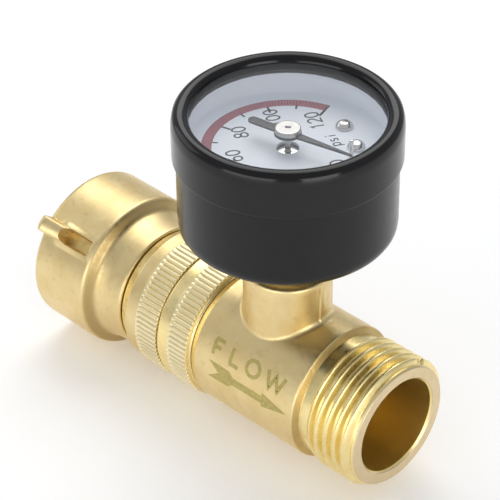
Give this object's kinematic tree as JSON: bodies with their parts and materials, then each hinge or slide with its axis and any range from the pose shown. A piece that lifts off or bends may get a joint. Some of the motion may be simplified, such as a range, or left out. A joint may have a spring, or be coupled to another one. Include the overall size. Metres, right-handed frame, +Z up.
{
  "type": "water pressure regulator",
  "caption": "In-line brass water pressure regulator with a swivel hose inlet, a male hose outlet and a round dial pressure gauge standing on top.",
  "frame": {"origin": "centre of the swivel nut's open end, on the flow axis", "axes": "+X along the water flow from inlet to outlet, +Z up along the gauge axis"},
  "size_m": [0.0835, 0.0422, 0.0732],
  "materials": {
    "forged_brass": "satin, bead-blasted forging with bright turned bands",
    "turned_brass": "bright turned brass",
    "steel": "bright plated steel",
    "spring_steel": "drawn spring wire",
    "rubber": "matte black rubber",
    "black_paint": "gloss black paint over pressed steel",
    "window_glass": "clear",
    "dial_white": "satin white printed dial",
    "pointer_black": "satin black"
  },
  "bodies": {
    "regulator": {"inlet_tailpiece": "forged_brass", "swivel_snap_ring": "spring_steel", "hose_washer": "rubber", "filter_screen": "steel", "seat_holder": "turned_brass", "valve_seat_disc": "rubber", "spring_housing": "forged_brass", "tailpiece_o_ring": "rubber", "piston_stem_o_ring": "rubber", "housing_o_ring": "rubber", "regulating_spring": "spring_steel", "regulator_body": "forged_brass", "gauge_stem": "turned_brass", "bourdon_tube": "turned_brass", "gauge_case": "black_paint", "case_screw_1": "steel", "case_screw_2": "steel", "gauge_bezel": "black_paint", "window_gasket": "rubber", "gauge_window": "window_glass", "dial": "dial_white", "dial_screw_1": "steel", "dial_screw_2": "steel", "stop_pin": "steel", "movement_lower_plate": "turned_brass", "movement_upper_plate": "steel", "movement_pillar_1": "turned_brass", "movement_pillar_2": "turned_brass", "movement_pillar_3": "turned_brass", "hairspring": "spring_steel"},
    "swivel_nut": {"inlet_swivel_nut": "forged_brass"},
    "piston": {"piston": "turned_brass", "piston_head_o_ring": "rubber"},
    "pointer_staff": {"pointer": "pointer_black", "pointer_hub": "steel", "pinion_staff": "steel"},
    "sector": {"sector_gear": "turned_brass", "sector_arbor": "steel"},
    "tube_tip": {"tube_end_cap": "turned_brass", "connecting_link": "turned_brass"}
  },
  "joints": [
    {"name": "nut_swivel", "type": "hinge", "parent": "regulator", "child": "swivel_nut", "pos_m": [0.011, 0, 0], "axis": [1, 0, 0], "continuous": true},
    {"name": "piston_slide", "type": "slide", "parent": "regulator", "child": "piston", "axis": [1, 0, 0], "range_m": [-0.0024, 0], "stiffness_N_per_m": 500, "springref_m": 0.0002, "deforming": ["regulating_spring"]},
    {"name": "pointer_spin", "type": "hinge", "parent": "regulator", "child": "pointer_staff", "pos_m": [0.0553, 0, 0.0425], "axis": [0, 0, 1], "range_deg": [-270, 0], "stiffness_Nm_per_rad": 0.00002, "deforming": ["hairspring"]},
    {"name": "sector_swing", "type": "hinge", "parent": "regulator", "child": "sector", "pos_m": [0.04558, 0, 0.0425], "axis": [0, 0, 1], "range_deg": [0, 33.75]},
    {"name": "tube_tip_travel", "type": "slide", "parent": "regulator", "child": "tube_tip", "axis": [0, -1, 0], "range_m": [0, 0.00174], "stiffness_N_per_m": 200, "deforming": ["bourdon_tube"]}
  ],
  "couplings": [
    {"joint": "pointer_spin", "follows": "tube_tip_travel", "rad_per_m": -2708.2},
    {"joint": "sector_swing", "follows": "tube_tip_travel", "rad_per_m": 338.52}
  ]
}
